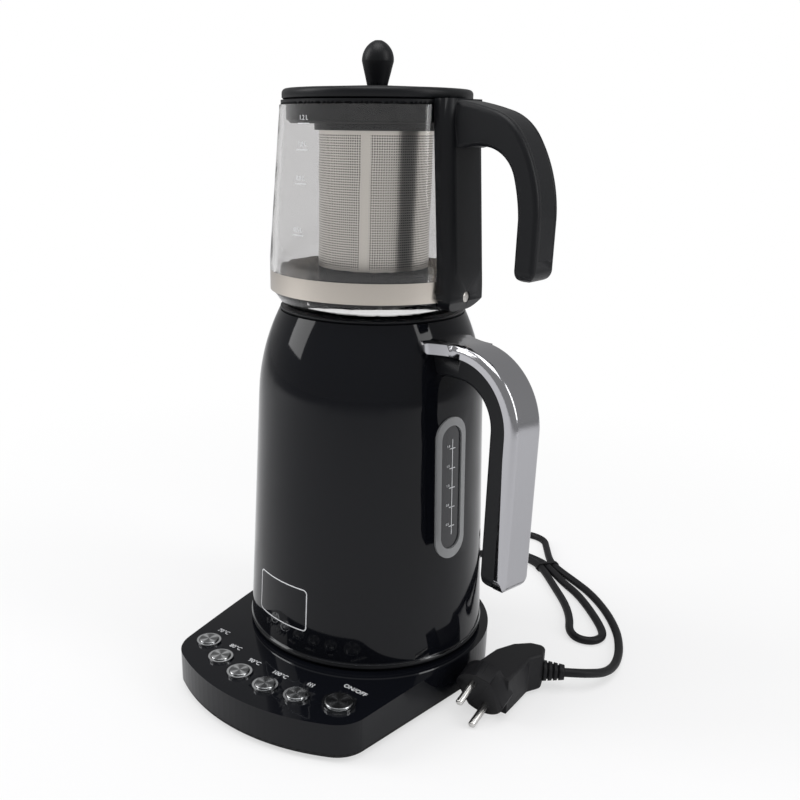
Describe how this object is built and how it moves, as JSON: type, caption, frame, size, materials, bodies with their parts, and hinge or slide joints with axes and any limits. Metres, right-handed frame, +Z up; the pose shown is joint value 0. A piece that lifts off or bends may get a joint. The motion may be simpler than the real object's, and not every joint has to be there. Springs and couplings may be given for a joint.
{
  "type": "automatic tea maker",
  "caption": "Two-tier electric tea maker: button base, lift-off kettle with level window, glass jug with infuser and knobbed lid, cord and plug.",
  "frame": {"origin": "on the table under the middle of the dock, where the kettle's axis meets the plane of the feet", "axes": "+Z up along the kettle's axis, the button panel towards -Y, the handles towards +X"},
  "size_m": [0.2525, 0.402, 0.4139],
  "materials": {
    "gloss_black": "polished black plastic",
    "soft_black": "satin black plastic",
    "chrome": "polished",
    "steel": "brushed",
    "mesh_steel": "perforated sheet",
    "silver": "turned",
    "clear_glass": "clear",
    "dark_lens": "smoked clear plastic",
    "tube_white": "milky tube",
    "rubber_black": "matt",
    "board_green": "circuit board",
    "pin_metal": "nickel plated"
  },
  "bodies": {
    "power_base": {"base_cover": "gloss_black", "base_tray": "soft_black", "base_feet": "rubber_black", "base_screws": "steel", "control_board": "board_green", "tact_switches": "soft_black", "button_bezels": "chrome", "dock_connector": "soft_black", "cord_gland": "rubber_black", "cord_lead": "rubber_black", "cord_tail": "rubber_black", "cord_hank": "rubber_black", "cord_tie": "soft_black", "plug_body": "soft_black", "plug_pins": "pin_metal"},
    "coupler": {"kettle_socket": "soft_black"},
    "kettle": {"kettle_foot_ring": "soft_black", "kettle_trim": "chrome", "kettle_shell": "gloss_black", "window_frame": "soft_black", "window_lens": "dark_lens", "level_tube": "tube_white", "heater_plate": "steel", "mouth_ring": "steel", "kettle_handle_core": "soft_black", "kettle_handle_cover": "chrome"},
    "jug": {"jug_glass": "clear_glass", "jug_band": "steel", "jug_handle": "soft_black", "jug_handle_strip": "soft_black", "jug_handle_screw": "steel"},
    "infuser": {"infuser_holder": "soft_black", "mesh_tube": "mesh_steel", "infuser_cup": "soft_black"},
    "lid": {"lid_disc": "soft_black", "lid_knob": "soft_black"},
    "key_70": {"button_70": "silver"},
    "key_80": {"button_80": "silver"},
    "key_90": {"button_90": "silver"},
    "key_100": {"button_100": "silver"},
    "key_keep_warm": {"button_keep_warm": "silver"},
    "key_power": {"button_power": "silver"}
  },
  "joints": [
    {"name": "kettle_lift", "type": "slide", "parent": "power_base", "child": "coupler", "axis": [0, 0, 1], "range_m": [0, 0.05]},
    {"name": "kettle_spin", "type": "hinge", "parent": "coupler", "child": "kettle", "pos_m": [0, 0, 0.04], "axis": [0, 0, 1], "continuous": true},
    {"name": "jug_lift", "type": "slide", "parent": "kettle", "child": "jug", "axis": [0, 0, 1], "range_m": [0, 0.06]},
    {"name": "infuser_lift", "type": "slide", "parent": "jug", "child": "infuser", "axis": [0, 0, 1], "range_m": [0, 0.125]},
    {"name": "lid_lift", "type": "slide", "parent": "infuser", "child": "lid", "axis": [0, 0, 1], "range_m": [0, 0.05]},
    {"name": "press_70", "type": "slide", "parent": "power_base", "child": "key_70", "axis": [0, 0, -1], "range_m": [0, 0.001], "stiffness_N_per_m": 900, "springref_m": -0.0006},
    {"name": "press_80", "type": "slide", "parent": "power_base", "child": "key_80", "axis": [0, 0, -1], "range_m": [0, 0.001], "stiffness_N_per_m": 900, "springref_m": -0.0006},
    {"name": "press_90", "type": "slide", "parent": "power_base", "child": "key_90", "axis": [0, 0, -1], "range_m": [0, 0.001], "stiffness_N_per_m": 900, "springref_m": -0.0006},
    {"name": "press_100", "type": "slide", "parent": "power_base", "child": "key_100", "axis": [0, 0, -1], "range_m": [0, 0.001], "stiffness_N_per_m": 900, "springref_m": -0.0006},
    {"name": "press_keep_warm", "type": "slide", "parent": "power_base", "child": "key_keep_warm", "axis": [0, 0, -1], "range_m": [0, 0.001], "stiffness_N_per_m": 900, "springref_m": -0.0006},
    {"name": "press_power", "type": "slide", "parent": "power_base", "child": "key_power", "axis": [0, 0, -1], "range_m": [0, 0.001], "stiffness_N_per_m": 900, "springref_m": -0.0006}
  ]
}
